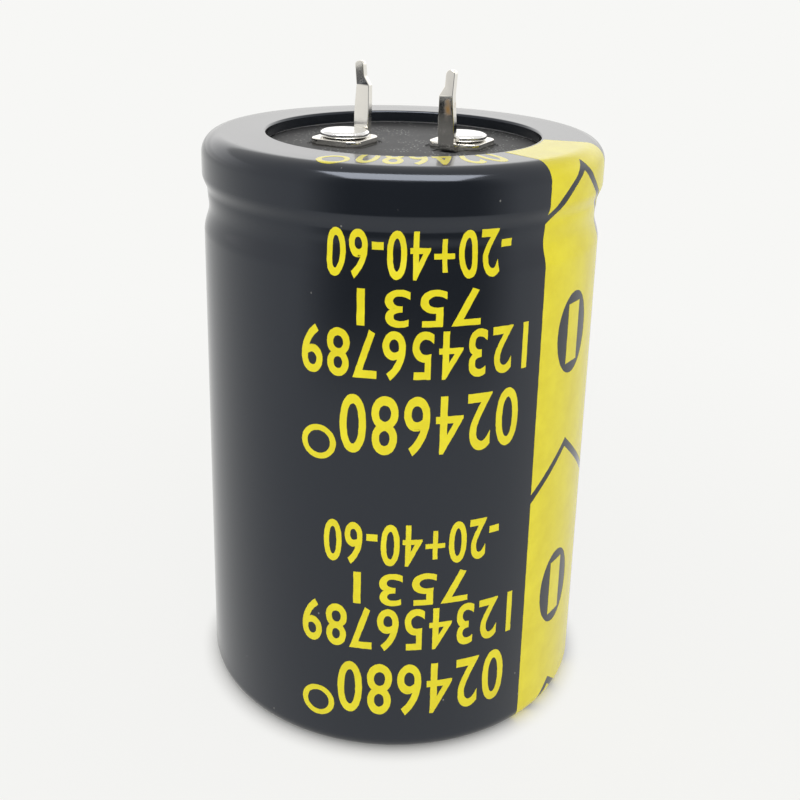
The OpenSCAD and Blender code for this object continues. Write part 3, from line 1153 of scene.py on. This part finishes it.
@dataclass
class Studio:
    """A pale table under a softbox, and the camera."""

    lens: float = 49.0545
    sensor: float = 36.0
    camera_at: Place = (0.0, -96.931, 67.567)
    clip: Point = (0.005, 50.0)
    pitch: float = 0.29754
    roll: float = 0.02425
    shift_y: float = -0.15
    floor_half: float = 4000.0
    floor_colour: str = "#f7f7f5"
    sky_colour: str = "#f5f4f2"
    sky_strength: float = 0.68
    contact: Point = (16.6, 19.4)
    shadow: float = 0.1
    shadow_far: float = 120.0
    box_size: Point = (480.0, 270.0)
    box_at: Place = (0.0, -200.0, 450.0)
    lamp_at: Place = (0.0, -420.0, 240.0)
    box_light: float = 1.9
    box_gloss: float = 9.5
    box_colour: str = "#f5f4f2"
    flag_line: tuple[Point, ...] = ((45, 1), (150, 1), (330, 1), (330, 345))
    flag_half: float = 80.0
    flag_light: float = 0.24
    flag_colour: str = "#e2e8f3"
    flag_fade: Fade = Fade((90.0, -1000.0, 0.0), 28, 64, (80.0, 135.0))
    glow_line: tuple[Point, ...] = ((-420, 55), (-420, 260))
    glow_half: float = 100.0
    glow_light: float = 1.83
    glow_fade: Fade = Fade((0.0, 1000.0, 0.0), 15, 98, (105.0, 140.0), True, 0.46)
    sweep_steps: int = 48

    def place_camera(self) -> None:
        """Puts the camera where the photograph was taken from."""
        data = bpy.data.cameras.new("camera")
        data.lens = self.lens
        data.sensor_width = self.sensor
        data.shift_y = self.shift_y
        data.clip_start, data.clip_end = self.clip
        camera = link_object("camera", data)
        camera.matrix_world = (
            Matrix.Translation(turned(self.camera_at))
            @ Matrix.Rotation(STUDIO_TURN, 4, "Z")
            @ Matrix.Rotation(math.pi / 2 - self.pitch, 4, "X")
            @ Matrix.Rotation(self.roll, 4, "Z")
        )
        bpy.context.scene.camera = camera

    def seen_rays(self, tree: Tree) -> Socket:
        """Tells rays that see a thing as it looks from rays that only gather its light.

        Args:
            tree: The world's or the material's nodes.

        Returns:
            1 for camera, glossy and transmission rays.
        """
        path = add_node(tree, "LightPath")
        seen = path.outputs["Is Camera Ray"]
        for name in ("Is Glossy Ray", "Is Transmission Ray"):
            both = {0: seen, 1: path.outputs[name]}
            seen = add_node(tree, "Math", both, operation="MAXIMUM").outputs["Value"]
        return seen

    def light_world(self) -> None:
        """Makes the room's even light, and the white seen behind the part."""
        world = bpy.data.worlds.new("studio")
        bpy.context.scene.world = world
        world.use_nodes = True
        tree = world.node_tree
        tree.nodes.clear()
        fill, white = (
            add_node(
                tree, "Background", {"Color": linear(self.sky_colour), "Strength": strength}
            )
            for strength in (self.sky_strength, 1.0)
        )
        mixed = add_node(tree, "MixShader", {0: self.seen_rays(tree), 1: fill, 2: white})
        add_node(tree, "OutputWorld", {"Surface": mixed})

    def stage_piece(self, name: str, mesh: BMesh, material: Material) -> Object:
        """Makes a thing of the studio from a mesh in studio millimetres.

        Args:
            name: Its name.
            mesh: Its mesh, which is freed.
            material: Its material.

        Returns:
            The object.
        """
        bmesh.ops.scale(mesh, vec=(MM,) * 3, verts=mesh.verts)
        turn = Matrix.Rotation(STUDIO_TURN, 3, "Z")
        bmesh.ops.rotate(mesh, matrix=turn, verts=mesh.verts)
        thing = mesh_object(name, mesh, material)
        return thing

    def lay_floor(self) -> None:
        """Lays the table, which is white to the eye and keeps the part's shadow."""
        material = bpy.data.materials.new("painted_table_matt_white")
        material.use_nodes = True
        tree = material.node_tree
        tree.nodes.clear()
        paint, white = (
            add_node(tree, kind, {"Color": linear(self.floor_colour)})
            for kind in ("BsdfDiffuse", "Emission")
        )
        place = add_node(tree, "TexCoord").outputs["Object"]
        away = add_node(tree, "VectorMath", {0: place}, operation="LENGTH")
        near, past, far = (r * MM for r in (*self.contact, self.shadow_far))
        close = ramp(away, near, past, high=1 - self.shadow)
        wide = ramp(away, past, far, high=self.shadow)
        contact, rest = (
            add_node(tree, "MapRange", level, interpolation_type="SMOOTHSTEP")
            for level in (close, wide)
        )
        plain = add_node(tree, "Math", {0: contact, 1: rest}, operation="ADD")
        seen = self.seen_rays(tree)
        share = add_node(tree, "Math", {0: seen, 1: plain}, operation="MULTIPLY")
        mixed = add_node(tree, "MixShader", {0: share, 1: paint, 2: white})
        add_node(tree, "OutputMaterial", {"Surface": mixed})
        mesh = bmesh.new()
        bmesh.ops.create_grid(mesh, x_segments=1, y_segments=1, size=self.floor_half)
        self.stage_piece("table", mesh, material)

    def card_material(
        self, name: str, colour: str, strength: float, fade: Fade | None
    ) -> Material:
        """Makes the face of a card that only shows in reflections.

        Args:
            name: The material's name.
            colour: The card's colour.
            strength: How light the card is.
            fade: Where the card is solid, or nothing for a card that is solid all over.

        Returns:
            The material.
        """
        material = bpy.data.materials.new(name)
        material.use_nodes = True
        tree = material.node_tree
        tree.nodes.clear()
        face = add_node(tree, "Emission", {"Color": linear(colour), "Strength": strength})
        if fade:
            clear = add_node(tree, "BsdfTransparent")
            face = add_node(tree, "MixShader", {0: fade.draw(tree), 1: clear, 2: face})
        add_node(tree, "OutputMaterial", {"Surface": face})
        return material

    def only_in_gloss(self, card: Object) -> None:
        """Hides a card from everything but reflections."""
        for ray in ("camera", "diffuse", "transmission", "volume_scatter", "shadow"):
            setattr(card, f"visible_{ray}", False)

    def sweep(self, section: tuple[Point, ...], half_turn: float) -> BMesh:
        """Sweeps a section, drawn as distance in front and height, round the part.

        Args:
            section: The section's points.
            half_turn: How far it reaches to each side, in degrees.

        Returns:
            The swept card.
        """
        mesh = bmesh.new()
        verts = [mesh.verts.new((0.0, -away, z)) for away, z in section]
        edges = [mesh.edges.new(pair) for pair in zip(verts, verts[1:])]
        start = Matrix.Rotation(math.radians(-half_turn), 3, "Z")
        bmesh.ops.rotate(mesh, matrix=start, verts=verts)
        bmesh.ops.spin(
            mesh,
            geom=verts + edges,
            axis=(0, 0, 1),
            angle=math.radians(2 * half_turn),
            steps=self.sweep_steps,
        )
        return mesh

    def hang_cards(self) -> None:
        """Hangs what the film mirrors: the softbox, a dark flag and a pale screen."""
        wide, deep = self.box_size
        box = bmesh.new()
        bmesh.ops.create_grid(box, x_segments=1, y_segments=1, size=0.5)
        bmesh.ops.scale(box, vec=(wide, deep, 1), verts=box.verts)
        bmesh.ops.translate(box, vec=self.box_at, verts=box.verts)
        flag = self.sweep(self.flag_line, self.flag_half)
        glow = self.sweep(self.glow_line, self.glow_half)
        cards = (
            ("softbox_face", box, self.box_colour, self.box_gloss, None),
            ("dark_flag", flag, self.flag_colour, self.flag_light, self.flag_fade),
            ("pale_screen", glow, self.box_colour, self.glow_light, self.glow_fade),
        )
        for name, mesh, colour, strength, fade in cards:
            material = self.card_material(f"{name}_card", colour, strength, fade)
            self.only_in_gloss(self.stage_piece(name, mesh, material))

    def hang_lamp(self) -> None:
        """Hangs the lamp in front of the part, aimed at its foot."""
        data = bpy.data.lights.new("softbox", "AREA")
        data.shape = "RECTANGLE"
        data.size, data.size_y = (s * MM for s in self.box_size)
        data.energy = self.box_light * math.pi * data.size * data.size_y
        lamp = link_object("softbox", data)
        place = turned(self.lamp_at)
        aim = (-place).to_track_quat("-Z", "Y")
        lamp.matrix_world = Matrix.Translation(place) @ aim.to_matrix().to_4x4()
        lamp.visible_glossy = False

    def build(self) -> None:
        """Sets up the whole studio."""
        self.place_camera()
        self.light_world()
        self.lay_floor()
        self.hang_cards()
        self.hang_lamp()
        bpy.context.scene.view_settings.view_transform = "Standard"


def main() -> None:
    """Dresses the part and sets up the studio."""
    noise.seed_set(NOISE_SEED)
    logging.basicConfig(level=logging.INFO, format="%(name)s: %(message)s")
    film = Film()
    film.build()
    ink = Print(film)
    ink.build_stripe()
    ink.build_rows()
    RoundedCopies().build()
    HiddenPieces().dress()
    Studio().build()


if __name__ == "__main__":
    main()
